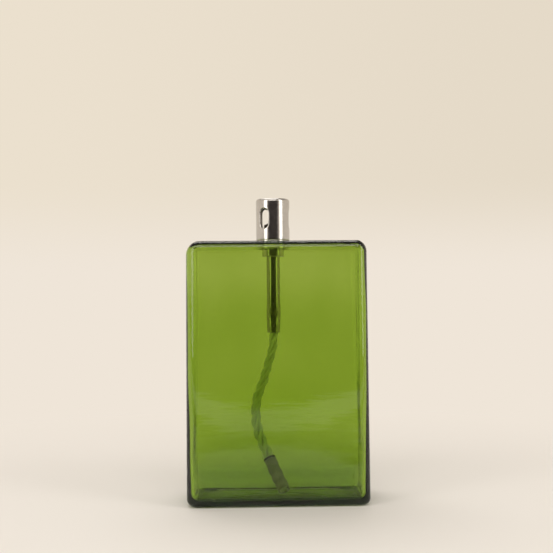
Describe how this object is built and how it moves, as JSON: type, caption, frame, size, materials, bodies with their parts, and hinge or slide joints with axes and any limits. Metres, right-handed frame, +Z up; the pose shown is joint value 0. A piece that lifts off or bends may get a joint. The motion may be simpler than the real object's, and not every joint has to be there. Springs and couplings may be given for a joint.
{
  "type": "wick bottle",
  "caption": "Flat rectangular green glass bottle with rounded corners, a small slotted steel burner head on its top, and a rope wick that hangs inside from a steel tube.",
  "frame": {"origin": "under the middle of the bottle's base, on the surface it stands on", "axes": "+Z up, along the bottle's height; +X along its broad face, to the right from the front; -Y towards the front"},
  "size_m": [0.0804, 0.036, 0.1342],
  "materials": {
    "green_glass": "clear hand-blown glass, slightly wavy, with seeds",
    "polished_steel": "polished stainless steel",
    "white_wick": "twisted three-strand rope",
    "grey_sleeve": "matt shrunk sleeve",
    "dark_thread": "waxed binding thread"
  },
  "bodies": {
    "bottle": {"glass_bottle": "green_glass"},
    "burner": {"base_plug": "polished_steel", "wick_tube": "polished_steel"},
    "head": {"burner_head": "polished_steel"},
    "wick": {"wick_stem": "white_wick", "wick_rope": "white_wick", "tail_wrap": "grey_sleeve", "tail_thread": "dark_thread"}
  },
  "joints": [
    {"name": "burner_lift", "type": "slide", "parent": "bottle", "child": "burner", "axis": [0, 0, 1], "range_m": [0, 0.125], "deforming": ["wick_rope", "tail_wrap", "tail_thread"]},
    {"name": "head_lift", "type": "slide", "parent": "burner", "child": "head", "axis": [0, 0, 1], "range_m": [0, 0.022]},
    {"name": "wick_feed", "type": "slide", "parent": "burner", "child": "wick", "axis": [0, 0, 1], "range_m": [0, 0.004]}
  ]
}
